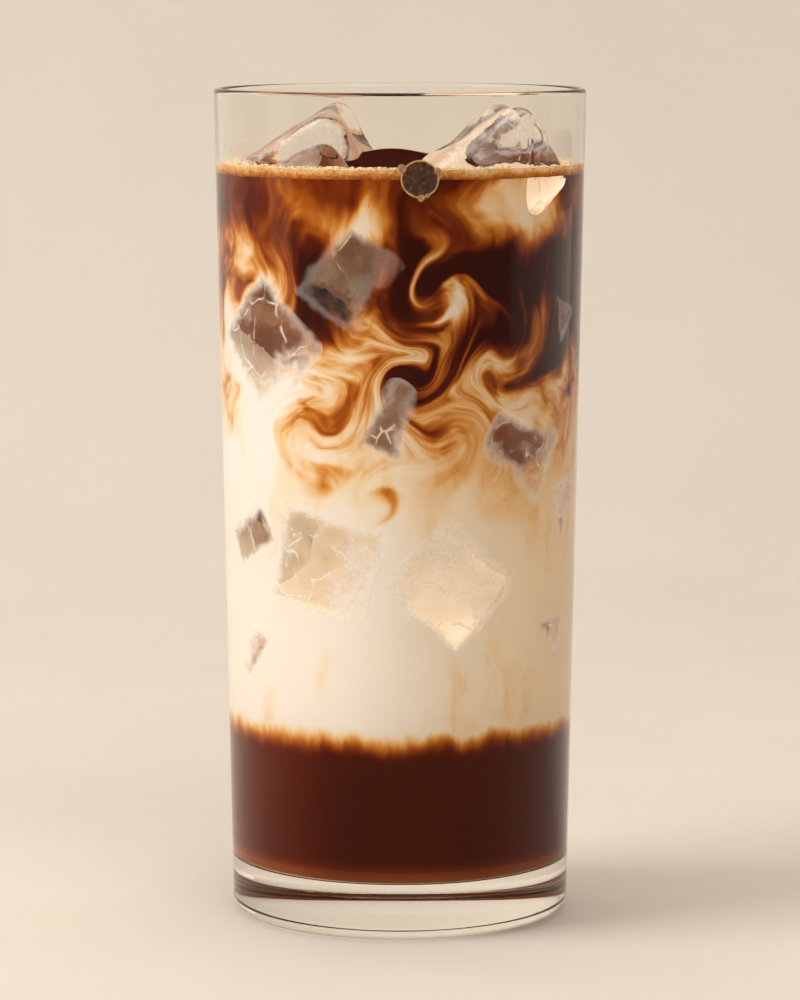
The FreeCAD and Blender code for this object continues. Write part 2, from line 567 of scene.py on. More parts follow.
def coffee_strength_effect(stir, plume, drift):
    """How much coffee is in the milk at a place above the dark layer."""
    recipe, given, result = new_effect("coffee_strength", {"Place": "vector"}, {"Strength": "number"})
    place = recipe.effect(drift, place=given["Place"], size=9.0, amount=2.0)["Place"]
    for x, z, reach, turn in STIRS:
        place = recipe.effect(stir, place=place, centre=(x, 0.0, z), reach=reach, turn=turn)["Place"]
    place = recipe.effect(drift, place=place, size=12.0, amount=4.5)["Place"]
    place = recipe.effect(drift, place=place, size=4.5, amount=1.6)["Place"]

    height = recipe.parts(place)[2]
    deep = recipe.ease(height, 70.0, 122.0, 0.02, 0.72)
    strength = deep
    for x, z, wide, tall, lean, amount in PLUMES:
        share = recipe.effect(
            plume, place=place, centre=(x, 0.0, z), half_width=wide, half_height=tall,
            lean=math.radians(lean),
        )["Share"]
        strength = recipe.math("MULTIPLY_ADD", share, amount, strength)

    # strands: the layers of a pour, drawn out along the currents
    broad = recipe.grain(recipe.stretch(place, (1.0, 0.6, 0.45)), 5.5, 3.0, 0.5)
    fine = recipe.grain(recipe.stretch(place, (1.0, 0.6, 0.3)), 1.5, 2.0, 0.5)
    strand = recipe.times(recipe.minus(broad, 0.5), 1.7)
    strand = recipe.sway(strand, fine, 0.55)
    in_coffee = recipe.ease(deep, 0.02, 0.34)
    room = recipe.times(in_coffee, recipe.ease(height, 112.0, 132.0, 1.0, 0.45))
    strength = recipe.math("MULTIPLY_ADD", strand, room, strength)
    recipe.feed(recipe.ease(strength, -0.1, 1.12), result["Strength"])
    return recipe.tree


def drink_colour_effect(coffee_strength):
    """The drink's colour anywhere: the dark layer, its ragged amber top, milk and swirls."""
    recipe, given, result = new_effect("drink_colour", {"Place": "vector"}, {"Colour": "colour"})
    place = given["Place"]
    x, _, z = recipe.parts(place)
    strength = recipe.effect(coffee_strength, place=place)["Strength"]

    # shreds of coffee that hang in the milk, and painted shade: more coffee colour towards the right
    # side, away from the key light
    shreds = recipe.grain(recipe.stretch(place, (1.0, 1.0, 0.5)), 11.0, 4.0, 0.6)
    shreds = recipe.ease(shreds, 0.52, 0.75, 0.0, 0.16)
    painted_shade_right = recipe.ease(x, -12.0, 32.0, 0.0, 0.13)
    at_surface = recipe.ease(z, COFFEE_LEVEL - 0.5, COFFEE_LEVEL + 0.2, 0.0, 0.45)
    above = recipe.plus(strength, recipe.plus(shreds, painted_shade_right))
    above = recipe.plus(above, at_surface, clamp=True)

    # the dark layer: its top is ragged, with small fingers
    fingers = recipe.grain(recipe.stretch(place, (1.0, 1.0, 0.35)), 5.5, 4.0, 0.6)
    level = recipe.math("MULTIPLY_ADD", fingers, 5.5, LOWER_LEVEL - 1.2)
    depth = recipe.minus(level, z)
    sunk = recipe.ease(depth, -0.9, 5.5)
    murk = recipe.grain(recipe.stretch(place, (1.0, 1.0, 0.4)), 16.0, 3.0, 0.55)
    # painted light: the dark layer is paler on its lit left side and glows amber along its bottom edge;
    # the murk is its own uneven tone
    lit_side = recipe.ease(x, -30.0, -10.0, 0.10, 0.0)
    lit_edge = recipe.ease(z, FLOOR, FLOOR + 4.5, 0.32, 0.0)
    paler = recipe.plus(lit_side, lit_edge)
    paler = recipe.plus(paler, recipe.times(murk, 0.10))
    paler = recipe.times(paler, recipe.ease(depth, 1.0, 6.0))
    deep = recipe.minus(sunk, paler)
    recipe.feed(recipe.ramp(recipe.most(above, deep), MILK_TO_COFFEE), result["Colour"])
    return recipe.tree


def drink_finish(name, drink_colour, gloss, roughness):
    """The drink.  Against the glass it has no gloss of its own, as the two are wet
    together; its free surface shines."""
    finish, recipe, surface = new_finish(name)
    place = place_in_mm(recipe)
    colour = recipe.effect(drink_colour, place=place)["Colour"]
    values = {"Base Color": colour, "Roughness": roughness, "Specular IOR Level": gloss}
    recipe.feed(recipe.principled(values), surface)
    return finish


def drink_floor_finish(drink_colour):
    """The underside of the drink on the glass: from a low angle the glass under it mirrors."""
    finish, recipe, surface = new_finish("drink_on_the_floor")
    place = place_in_mm(recipe)
    colour = recipe.effect(drink_colour, place=place)["Colour"]
    body = recipe.principled({
        "Base Color": colour, "Roughness": 0.5, "Specular IOR Level": 0.2,
    })
    mirror = recipe.add("ShaderNodeBsdfGlossy", {
        "Color": srgb(248, 244, 238), "Roughness": 0.02,
    }).outputs[0]
    facing = recipe.add("ShaderNodeLayerWeight", {"Blend": 0.5}).outputs["Facing"]
    low_angle = recipe.ease(facing, 0.50, 0.62)
    recipe.feed(recipe.mix(low_angle, body, mirror), surface)
    return finish


def behind_ice_finish():
    """The drink seen through a cube of ice.  It glows a little in its own colour: painted light in
    place of the light that soaks through milk to it.
    """
    finish, recipe, surface = new_finish("drink_behind_ice")
    place = place_in_mm(recipe)
    behind = recipe.mark("coffee_behind")
    cloud = recipe.grain(place, 7.0, 3.0, 0.55)
    behind = recipe.sway(behind, cloud, 0.7, clamp=True)
    colour = recipe.ramp(behind, BEHIND_ICE)
    # painted light: emission in the drink's own colour, though the drink is no lamp
    recipe.feed(recipe.principled({
        "Base Color": colour, "Roughness": 0.9, "Specular IOR Level": 0.0,
        "Emission Color": colour, "Emission Strength": 0.32,
    }), surface)
    return finish


ICE_TINT = srgb(252, 250, 248)      # of the light that has gone through ice


def let_lamps_through(recipe, body, surface, tint):
    """Light reaches what is behind the glass or ice instead of casting a hard shadow."""
    shadow = recipe.add("ShaderNodeLightPath").outputs["Is Shadow Ray"]
    clear = recipe.add("ShaderNodeBsdfTransparent", {"Color": tint}).outputs[0]
    recipe.feed(recipe.mix(shadow, body, clear), surface)


def glass_finish():
    """Clear tumbler glass with the faint waves of its moulding."""
    finish, recipe, surface = new_finish("tumbler_glass")
    place = place_in_mm(recipe)
    waves = recipe.grain(recipe.stretch(place, (1.0, 1.0, 0.3)), 14.0, 1.0)
    bump = recipe.add("ShaderNodeBump", {"Strength": 0.04, "Distance": 0.001, "Height": waves})
    smears = recipe.ease(recipe.grain(place, 9.0, 3.0), 0.55, 0.8, 0.0, 0.03)
    values = {
        "Base Color": srgb(252, 250, 246), "Roughness": smears, "IOR": 1.5,
        "Transmission Weight": 1.0, "Normal": bump.outputs[0], "Specular Tint": srgb(130, 130, 130),
    }
    body = recipe.principled(values)
    let_lamps_through(recipe, body, surface, srgb(250, 250, 248))
    return finish


def clear_ice(recipe, place, roughness):
    """Clear ice with the soft lumps of its melting: the shader and the lumps' normal."""
    waves = recipe.grain(place, 4.0, 2.0)
    lumps = recipe.add("ShaderNodeBump", {"Strength": 0.35, "Distance": 0.001, "Height": waves})
    clear = recipe.principled({
        "Base Color": srgb(253, 251, 249), "Roughness": roughness, "IOR": 1.31,
        "Transmission Weight": 1.0, "Normal": lumps.outputs[0],
    })
    return clear, lumps.outputs[0]


def milky_streaks(recipe, drift, own, drawn_out, roughness):
    """Noise drawn out along one axis of a cube and bent a little, as trapped air lies."""
    streak = recipe.effect(drift, place=recipe.stretch(own, drawn_out), size=1.2, amount=0.9)["Place"]
    return recipe.grain(streak, 1.0, 4.0, roughness)


def ice_finish(drift):
    """Clear ice, white in streaks and along a few cracks, and white along its edges as a
    painted highlight.  Each cube's own attributes say how white it turns."""
    finish, recipe, surface = new_finish("ice")
    place = place_in_mm(recipe)
    own = recipe.mark("cube_place", "Vector")
    cloudy = recipe.mark("cloudiness")
    edge = recipe.mark("near_edge")
    bent = recipe.effect(drift, place=place, size=4.0, amount=1.6)["Place"]
    soft = recipe.grain(place, 2.2, 4.0, 0.6)
    # painted highlight: the cube turns white along its rounded edges, where real ice catches the light
    edge = recipe.sway(edge, soft, 0.5)
    edge = recipe.ease(edge, 0.70, 1.0)

    streak = milky_streaks(recipe, drift, own, (1.3, 8.0, 1.3), 0.65)
    streak = recipe.ease(streak, 0.52, 0.74, 0.0, 0.6)

    crack = recipe.ease(recipe.cells(bent, 8.0, "DISTANCE_TO_EDGE"), 0.0, 0.035, 1.0, 0.0)
    where = recipe.ease(recipe.grain(place, 5.0, 2.0), 0.48, 0.62)
    crack = recipe.times(crack, where)
    mask = recipe.most(edge, recipe.most(streak, crack))
    mask = recipe.times(mask, cloudy)

    height = recipe.parts(place)[2]
    above = recipe.ease(height, COFFEE_LEVEL - 3.0, COFFEE_LEVEL + 0.5)
    white_colour = recipe.colour(above, srgb(222, 178, 130), srgb(246, 241, 235))
    clear, lumps = clear_ice(recipe, place, recipe.times(mask, 0.3))
    white = recipe.principled({"Base Color": white_colour, "Roughness": 0.5, "Normal": lumps})
    let_lamps_through(recipe, recipe.mix(mask, clear, white), surface, ICE_TINT)
    return finish


def sunk_ice_finish(drift, drink_colour):
    """Ice under the drink: clear in the middle, with white streaks, and towards the rim of
    its face at the glass the drink has crept in front of it."""
    finish, recipe, surface = new_finish("sunk_ice")
    place = place_in_mm(recipe)
    own = recipe.mark("cube_place", "Vector")
    cloudy = recipe.mark("cloudiness")
    edge = recipe.mark("near_edge")
    bent = recipe.effect(drift, place=place, size=4.0, amount=1.6)["Place"]
    soft = recipe.grain(bent, 3.2, 3.0, 0.55)
    near = recipe.sway(edge, soft, 0.30)
    rim = recipe.ease(near, 0.70, 0.93)
    crept = recipe.ease(near, 0.82, 0.99)

    streak = milky_streaks(recipe, drift, own, (0.8, 3.6, 0.8), 0.6)
    streak = recipe.ease(streak, 0.52, 0.74, 0.0, 0.8)
    streak = recipe.times(streak, recipe.ease(cloudy, 0.1, 0.6, 0.25, 1.0))
    crack = recipe.ease(recipe.cells(bent, 8.0, "DISTANCE_TO_EDGE"), 0.0, 0.04, 0.8, 0.0)
    crack = recipe.times(crack, recipe.ease(soft, 0.42, 0.58))
    mask = recipe.most(rim, recipe.most(streak, crack))

    drink = recipe.effect(drink_colour, place=place)["Colour"]
    pale = recipe.colour(recipe.ease(cloudy, 0.05, 0.5, 0.2, 0.6), drink, srgb(246, 238, 228))
    front = recipe.colour(crept, pale, drink)
    clear, _ = clear_ice(recipe, place, 0.0)
    wet = recipe.principled({"Base Color": front, "Roughness": 0.9, "Specular IOR Level": 0.0})
    let_lamps_through(recipe, recipe.mix(mask, clear, wet), surface, ICE_TINT)
    return finish


def froth_finish():
    """Pale coffee froth: fine bubbles, lighter at the top than under the glass."""
    finish, recipe, surface = new_finish("coffee_froth")
    place = place_in_mm(recipe)
    z = recipe.parts(place)[2]
    small = recipe.cells(place, 0.38)
    large = recipe.cells(place, 0.9)
    bubbles = recipe.math("MULTIPLY_ADD", small, 0.6, recipe.times(large, 0.4))
    cloud = recipe.grain(place, 5.0, 3.0)
    rise = recipe.ease(z, FROTH_BOTTOM, FROTH_TOP, 0.62, 0.24)
    strength = recipe.sway(rise, cloud, 0.5)
    darker = recipe.minus(bubbles, 0.35)
    strength = recipe.math("MULTIPLY_ADD", darker, 0.3, strength, clamp=True)
    colour = recipe.ramp(strength, MILK_TO_COFFEE)
    bump = recipe.add("ShaderNodeBump", {"Strength": 0.6, "Distance": 0.0004, "Height": bubbles})
    values = {
        "Base Color": colour, "Roughness": 0.6, "Specular IOR Level": 0.2, "Normal": bump.outputs[0],
    }
    recipe.feed(recipe.principled(values), surface)
    return finish


def stage_finish():
    """Warm pale paper with a very fine tooth, seen from its front only."""
    finish, recipe, surface = new_finish("pale_paper")
    place = place_in_mm(recipe)
    tooth = recipe.grain(place, 0.8, 3.0)
    cloud = recipe.grain(place, 60.0, 2.0)
    shade = recipe.math("MULTIPLY_ADD", tooth, 0.3, recipe.times(cloud, 0.7))
    colour = recipe.ramp(shade, ((0.3, srgb(231, 220, 206)), (0.7, srgb(235, 225, 212))))
    bump = recipe.add("ShaderNodeBump", {"Strength": 0.1, "Distance": 0.0003, "Height": tooth})
    values = {
        "Base Color": colour, "Roughness": 0.85, "Specular IOR Level": 0.1, "Normal": bump.outputs[0],
    }
    body = recipe.principled(values)
    back = recipe.add("ShaderNodeNewGeometry").outputs["Backfacing"]
    clear = recipe.add("ShaderNodeBsdfTransparent").outputs[0]
    recipe.feed(recipe.mix(back, body, clear), surface)
    return finish


STIR = stir_effect()
PLUME = plume_effect()
DRIFT = drift_effect()
COFFEE_STRENGTH = coffee_strength_effect(STIR, PLUME, DRIFT)
DRINK_COLOUR = drink_colour_effect(COFFEE_STRENGTH)


# ======== The glass


def glass_outline():
    """Up the outside from the middle of the underside, over the rim and down to the floor."""
    lip = RIM_WALL / 2
    lip_height = RIM_HEIGHT - lip
    outer_lip = (outer_radius(lip_height), lip_height)
    inner_lip = (inner_radius(lip_height), lip_height)
    centre = (outer_lip[0] + inner_lip[0]) / 2
    half = (outer_lip[0] - inner_lip[0]) / 2
    lip_arc = [
        (centre + half * math.cos(t), lip_height + lip * math.sin(t))
        for t in np.linspace(0, math.pi, 17)
    ]
    heel = rounded((0, 0), (BASE_RADIUS, 0), outer_lip, HEEL_RADIUS)
    foot_inner = (heel[0][0] - FOOT_RING, 0.0)
    punt_edge = (foot_inner[0] - PUNT_DEPTH, PUNT_DEPTH / 2)
    corner = (inner_radius(FLOOR), FLOOR)
    well = rounded(inner_lip, corner, (0, FLOOR), WELL_RADIUS)
    return [(0, PUNT_DEPTH), punt_edge, foot_inner, *heel, *lip_arc, *well, (0, FLOOR)]


def make_glass():
    glass = turned("tumbler", glass_outline(), 50.0)
    coat(glass, glass_finish())
    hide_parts("glass")
    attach(glass, "root")
    return glass


# ======== The ice


class Cube:
    """A moulded cube of ice with melted edges, in its place in the glass."""

    def __init__(self, size, centre, turns, rounding, seed):
        self.half = np.array(size) / 2
        self.rounding = rounding
        self.seed = seed
        yaw, pitch, roll = (math.radians(t) for t in turns)
        self.turn = np.array(Euler((roll, pitch, yaw)).to_matrix())
        self.centre = np.array(centre)

    def unit_grid(self, count):
        """Points and faces of a cube from -1 to 1 with count faces along each edge."""
        steps = np.linspace(-1, 1, count + 1)
        u, v = (a.ravel() for a in np.meshgrid(steps, steps, indexing="ij"))
        row = count + 1
        starts = [i * row + j for i in range(count) for j in range(count)]
        squares = [(k, k + row, k + row + 1, k + 1) for k in starts]
        points, faces = [], []
        for axis in range(3):
            for side in (-1, 1):
                start = sum(len(p) for p in points)
                p = np.zeros((len(u), 3))
                p[:, axis] = side
                p[:, (axis + 1) % 3] = u
                p[:, (axis + 2) % 3] = v
                points.append(p)
                for square in squares:
                    face = [start + k for k in square]
                    faces.append(face if side > 0 else face[::-1])
        points = np.concatenate(points)
        unique, where = np.unique(points.round(6), axis=0, return_inverse=True)
        where = where.reshape(-1)
        return unique, [[int(where[k]) for k in face] for face in faces]

    def shape(self, grow, count):
        """Points and faces of the melted cube, grown outwards by grow."""
        points, faces = self.unit_grid(count)
        flat = points * self.half
        core = np.clip(flat, -(self.half - self.rounding), self.half - self.rounding)
        out = flat - core
        out /= np.linalg.norm(out, axis=1, keepdims=True)
        local = core + out * self.rounding
        narrow = 1 - ICE_TAPER * (1 + local[:, 1:2] / self.half[1]) / 2
        local[:, 0::2] *= narrow
        seed = Vector((self.seed * 7.3, self.seed * 3.1, self.seed * 5.7))
        for size, depth in ((11.0, 0.9), (4.5, 0.28)):
            lumps = np.array([noise.noise(Vector(p) / size + seed) for p in local])
            local = local + out * (lumps[:, None] * depth)
        local = local + out * grow
        return self.centre + local @ self.turn.T, faces

    def mark(self, piece, cloudiness, sunk):
        """Stores where each point lies in the cube, from -1 to 1 along its own axes, how
        white the ice turns and how near the point is to a place that turns white: the
        cube's edges, or the rim of a sunk cube's face at the glass."""
        own = self.own_place(read_points(piece))
        far = np.sort(abs(own), axis=1)
        store(piece, "cube_place", own.ravel(), "FLOAT_VECTOR")
        store(piece, "near_edge", far[:, 2 if sunk else 1].copy())
        store(piece, "cloudiness", [cloudiness] * len(own))

    def solid(self, name, room, count, cloudiness, sunk):
        """The cube's ice, as far as the room in the glass lets it reach."""
        points, faces = self.shape(0.0, count)
        piece = carve(make_piece(name, points, faces, 50.0), room, "INTERSECT")
        crisp(piece, 35)
        self.mark(piece, cloudiness, sunk)
        return piece

    def own_place(self, points):
        """Where points in metres lie in the cube, from -1 to 1 along its own axes."""
        return (points / MM - self.centre) @ self.turn / self.half

    def tool(self, name):
        """A slightly smaller cube that cuts its hole in the drink."""
        return make_piece(name, *self.shape(-CAVITY_GAP, CUTTER_SQUARES))


def room_for_ice():
    """Space that ice may fill: into the wall below the froth and clear of it above."""
    step = FROTH_BOTTOM - 0.2
    outline = [(0, FLOOR + 1)]
    rings = np.append(np.arange(FLOOR + 1, step, 0.8), step)
    outline += [(inner_radius(z) + ICE_REACH, z) for z in rings]
    outline += [(inner_radius(z) - ICE_CLEAR, z) for z in (step, RIM_HEIGHT)]
    outline += [(0, RIM_HEIGHT)]
    return turned("room_for_ice", outline)


def floating_cubes():
    cubes = {}
    for seed, (name, (size, offset, turns, rounding)) in enumerate(FLOATING_ICE.items()):
        centre = (offset[0], offset[1], COFFEE_LEVEL + offset[2])
        cubes[name] = Cube(size, centre, turns, rounding, seed + 1)
    return cubes


def sunk_cubes():
    cubes = []
    for seed, (height, around, inset, size, turns, strength) in enumerate(SUNK_ICE):
        reach = inner_radius(height) - inset
        a = math.radians(around)
        centre = (reach * math.cos(a), reach * math.sin(a), height)
        sizes = (size, size * 0.92, size * 0.96)
        cubes.append((Cube(sizes, centre, turns, size * 0.15, seed + 20), strength))
    return cubes


def make_ice(floating, sunk):
    room = room_for_ice()
    ice = ice_finish(DRIFT)
    for name, cube in floating.items():
        piece = cube.solid(name + "_clear", room, FLOATING_SQUARES, FLOATING_WHITENESS, False)
        coat(piece, ice)
        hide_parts(name)
        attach(piece, "root")
    pieces = [
        cube.solid(f"sunk_{i}", room, SUNK_SQUARES, 1.0 - strength, True)
        for i, (cube, strength) in enumerate(sunk)
    ]
    piece = joined("sunk_ice", pieces)
    coat(piece, sunk_ice_finish(DRIFT, DRINK_COLOUR))
    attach(piece, "root")
    drop(room)


# ======== The drink and its froth


SWELL = ((-1.5, 4.0), 9.0, 2.4)     # where the surface domes up, how wide and how high


def surface_height(x, y):
    """The coffee's surface, domed a little where it was last poured."""
    (cx, cy), wide, tall = SWELL
    return COFFEE_LEVEL + tall * np.exp(-((x - cx) ** 2 + (y - cy) ** 2) / wide ** 2)


def drink_body():
    """The whole filling of the glass, from a little into its floor to the coffee's surface."""
    top = COFFEE_LEVEL - 1.4
    bottom = FLOOR - DRINK_REACH
    wall_foot = (inner_radius(bottom) + DRINK_REACH, bottom)
    wall_top = (inner_radius(top) + DRINK_REACH, top)
    outline = [(0, bottom), *rounded((0, bottom), wall_foot, wall_top, WELL_RADIUS)]
    outline += [(inner_radius(z) + DRINK_REACH, z) for z in np.arange(FLOOR + 4, top - 1, 1.5)]
    outline += [wall_top]
    outline += [(r, COFFEE_LEVEL) for r in np.linspace(inner_radius(top) - 2.0, 1.0, 30)]
    outline += [(0, COFFEE_LEVEL)]
    drink = turned("drink", outline, 60.0)
    co = read_points(drink)
    on_top = co[:, 2] > (COFFEE_LEVEL - 0.01) * MM
    co[on_top, 2] = surface_height(co[on_top, 0] / MM, co[on_top, 1] / MM) * MM
    write_points(drink, co)
    return drink


def slab(name, bottom, top):
    """A disc wider than the glass, to split the drink into its layers."""
    return turned(name, [(0, bottom), (RIM_RADIUS, bottom), (RIM_RADIUS, top), (0, top)])


def paint_cavities(piece, cubes):
    """Gives the hollows that ice has left in the drink their own finish, and stores how
    much coffee is behind each, with painted shade that makes each flat darker or paler."""
    count = len(piece.data.polygons)
    centres = np.empty(count * 3)
    piece.data.polygons.foreach_get("center", centres)
    centres = centres.reshape(-1, 3)
    x, y, z = centres.T / MM
    inside = np.hypot(x, y) < inner_radius(z) + DRINK_REACH - 0.04
    hollow = inside & (z < surface_height(x, y) - 0.05) & (z > FLOOR + WELL_RADIUS + 0.2)
    hollow &= abs(z - LOWER_LEVEL) > 0.01
    hollow &= (z < COFFEE_LEVEL - 2.0) | (np.hypot(x, y) < inner_radius(z) - 2.0)
    own = np.array([cube.own_place(centres) for cube, _ in cubes])
    nearest = abs(own).max(axis=2).argmin(axis=0)
    own = own[nearest, np.arange(count)]
    axis = abs(own).argmax(axis=1)
    far_side = own[np.arange(count), axis] > 0
    # painted shade: each flat of a hollow is darker or paler than the next, as if each faced the light
    # differently
    painted_facet_shade = np.sin(nearest * 2.7 + axis * 2.1 + far_side * 3.9)
    behind = np.array([strength for _, strength in cubes])[nearest]
    behind = behind + (0.04 + 0.38 * behind) * painted_facet_shade
    store(piece, "coffee_behind", behind.astype(float), on="FACE")
    open_top = (z > COFFEE_LEVEL - 0.02) & ~hollow & (np.hypot(x, y) < inner_radius(z) - 2.0)
    on_floor = z < FLOOR + 0.8 * WELL_RADIUS
    piece.data.materials.clear()
    piece.data.polygons.foreach_set("material_index", hollow.astype(int) + 2 * open_top + 3 * on_floor)


BEHIND_FLOATING = {"ice_left": 0.62, "ice_front": 0.55, "ice_right": 0.42, "ice_back": 0.6}


def make_drink(floating, sunk):
    drink = drink_body()
    cubes = [(cube, BEHIND_FLOATING[name]) for name, cube in floating.items()] + sunk
    for cube, _ in cubes:
        tool = cube.tool("cut")
        carve(drink, tool)
        drop(tool)

    lower = twin(drink, "lower_coffee")
    split = slab("split", 0.0, LOWER_LEVEL)
    carve(lower, split, "INTERSECT")
    carve(drink, split)
    drop(split)
    drink.name = "milk_and_coffee"
    finishes = (
        drink_finish("drink_at_the_glass", DRINK_COLOUR, 0.0, 0.9),
        behind_ice_finish(),
        drink_finish("drink_surface", DRINK_COLOUR, 0.0, 0.5),
        drink_floor_finish(DRINK_COLOUR),
    )
    for piece in (lower, drink):
        crisp(piece, 40)
        paint_cavities(piece, cubes)
        coat(piece, *finishes)
    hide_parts("coffee_lower")
    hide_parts("milk", "coffee_upper")
    for piece, name in ((lower, "dark_coffee"), (drink, "milk")):
        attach(piece, "root")


def make_froth(floating):
    inner = inner_radius(FROTH_TOP) - FROTH_WIDTH
    bottom = FROTH_BOTTOM
    outline = [
        (inner, bottom + 0.9),
        (inner + 0.5, bottom + 0.3),
        (inner + 1.4, bottom),
        (inner_radius(bottom) + FROTH_REACH, bottom),
        (inner_radius(FROTH_TOP) + FROTH_REACH, FROTH_TOP - 0.05),
        (inner_radius(FROTH_TOP) - 0.6, FROTH_TOP),
        (inner + 1.5, FROTH_TOP),
        (inner + 0.5, FROTH_TOP - 0.2),
    ]
    froth = turned("froth_ring", outline, 50.0)
    co = read_points(froth) / MM
    for point in co:
        around = math.atan2(point[1], point[0])
        radius = math.hypot(point[0], point[1])
        ragged = noise.noise(Vector((math.cos(around) * 4, math.sin(around) * 4, 1.0)))
        ragged += 0.5 * noise.noise(Vector((math.cos(around) * 13, math.sin(around) * 13, 5.0)))
        share = min(max((inner_radius(FROTH_TOP) - radius) / FROTH_WIDTH, 0.0), 1.0)
        grown = radius - share * ragged * 2.2
        point[0] *= grown / radius
        point[1] *= grown / radius
        if point[2] < FROTH_BOTTOM + 0.2:
            point[2] += 0.45 + 0.45 * ragged
    write_points(froth, co * MM)
    room = turned("froth_room", [
        (0, 100), (inner_radius(130) - ICE_CLEAR, 100), (inner_radius(140) - ICE_CLEAR, 150), (0, 150),
    ])
    for cube in floating.values():
        points, faces = cube.shape(-CAVITY_GAP, CUTTER_SQUARES)
        tool = carve(make_piece("cut_froth", points, faces), room, "INTERSECT")
        carve(froth, tool)
        drop(tool)
    drop(room)
    coat(crisp(froth, 50), froth_finish())
    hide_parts("froth")
    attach(froth, "root")
    return froth


# ======== Bubbles


def bubble_tree(name, seed):
    """Nodes that scatter small bubbles over a surface, half sunk in it."""
    tree = bpy.data.node_groups.new(name, "GeometryNodeTree")
    for socket, kind, value in (
        ("Surface", "NodeSocketGeometry", None),
        ("Bubbles per square metre", "NodeSocketFloat", 1.0e6),
        ("Smallest radius", "NodeSocketFloat", 0.0001),
        ("Largest radius", "NodeSocketFloat", 0.0003),
        ("Finish", "NodeSocketMaterial", None),
    ):
        item = tree.interface.new_socket(socket, in_out="INPUT", socket_type=kind)
        if value is not None:
            item.default_value = value
    tree.interface.new_socket("Bubbles", in_out="OUTPUT", socket_type="NodeSocketGeometry")
    recipe = Recipe(tree)
    given = recipe.add("NodeGroupInput").outputs
    scatter = recipe.add("GeometryNodeDistributePointsOnFaces", {
        "Mesh": given["Surface"], "Density": given["Bubbles per square metre"], "Seed": seed,
    })
    ball = recipe.add("GeometryNodeMeshUVSphere", {"Segments": 8, "Rings": 5, "Radius": 1.0})
    size = recipe.add("FunctionNodeRandomValue", data_type="FLOAT")
    recipe.feed(given["Smallest radius"], size.inputs[2])
    recipe.feed(given["Largest radius"], size.inputs[3])
    size.inputs["Seed"].default_value = seed + 1
    placed = recipe.add("GeometryNodeInstanceOnPoints", {
        "Points": scatter.outputs["Points"], "Instance": ball.outputs["Mesh"], "Scale": size.outputs[1],
    })
    real = recipe.add("GeometryNodeRealizeInstances", {"Geometry": placed.outputs[0]})
    smooth = recipe.add("GeometryNodeSetShadeSmooth", {0: real.outputs[0]})
    painted = recipe.add("GeometryNodeSetMaterial", {
        "Geometry": smooth.outputs[0], "Material": given["Finish"],
    })
    recipe.feed(painted.outputs[0], recipe.add("NodeGroupOutput").inputs["Bubbles"])
    return tree


def scatter_bubbles(piece, tree, **values):
    """Replaces the piece's surface by the bubbles that lie on it."""
    maker = piece.modifiers.new("bubbles", "NODES")
    maker.node_group = tree
    for item in tree.interface.items_tree:
        key = item.name.replace(" ", "_").lower()
        if key in values:
            maker[item.identifier] = values[key]
    return finished(piece)


def bubble_finish(name, tone):
    """Small foam bubbles: pale skins that catch the light, each a little different."""
    finish, recipe, surface = new_finish(name)
    place = place_in_mm(recipe)
    shade = recipe.grain(place, 0.9, 2.0)
    colour = recipe.ramp(shade, ((0.35, srgb(*[c * 0.78 for c in tone])), (0.65, srgb(*tone))))
    gloss = recipe.ease(shade, 0.3, 0.7, 0.08, 0.2)
    recipe.feed(recipe.principled({"Base Color": colour, "Roughness": gloss, "IOR": 1.33}), surface)
    return finish


def top_of_froth(froth):
    """The upward faces of the froth, as a surface to scatter bubbles on."""
    surface = twin(froth, "froth_top")
    mesh = bmesh.new()
    mesh.from_mesh(surface.data)
    wall = [inner_radius(f.calc_center_median().z / MM) - 0.9 for f in mesh.faces]
    lower = [
        f for f, reach in zip(mesh.faces, wall)
        if f.normal.z < 0.3 or f.calc_center_median().xy.length / MM > reach
    ]
    bmesh.ops.delete(mesh, geom=lower, context="FACES")
    mesh.to_mesh(surface.data)
    mesh.free()
    return surface


def wall_foam():
    """A band just inside the glass, along the froth's top edge, for the finest bubbles."""
    turns = np.linspace(0, 2 * math.pi, 181)
    points, faces = [], []
    for t in turns:
        for z in (FROTH_TOP - 0.9, FROTH_TOP - 0.05):
            reach = inner_radius(z) - 0.02
            points.append((reach * math.cos(t), reach * math.sin(t), z))
    for i in range(180):
        faces.append((2 * i, 2 * i + 2, 2 * i + 3, 2 * i + 1))
    return make_piece("wall_foam", points, faces)


def make_bubbles(froth):
    tree = bubble_tree("scattered_bubbles", 7)
    foam = bubble_finish("foam_bubbles", (244, 218, 180))
    top = scatter_bubbles(
        top_of_froth(froth), tree, bubbles_per_square_metre=1.6e6, smallest_radius=0.00012,
        largest_radius=0.00042, finish=foam,
    )
    fine = scatter_bubbles(
        wall_foam(), tree, bubbles_per_square_metre=5.0e6, smallest_radius=0.00007,
        largest_radius=0.0002, finish=foam,
    )
    bubbles = joined("froth_bubbles", [top, fine])
    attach(bubbles, "root")


# Bubbles that press against the glass: sideways, height and radius.
WALL_BUBBLES = (
    (3.4, 135.2, 3.3), (0.3, 137.0, 0.75), (6.4, 136.6, 0.6), (3.6, 131.9, 0.6),
    (4.7, 132.3, 0.4), (-0.6, 136.5, 0.45), (6.9, 135.8, 0.4),
)


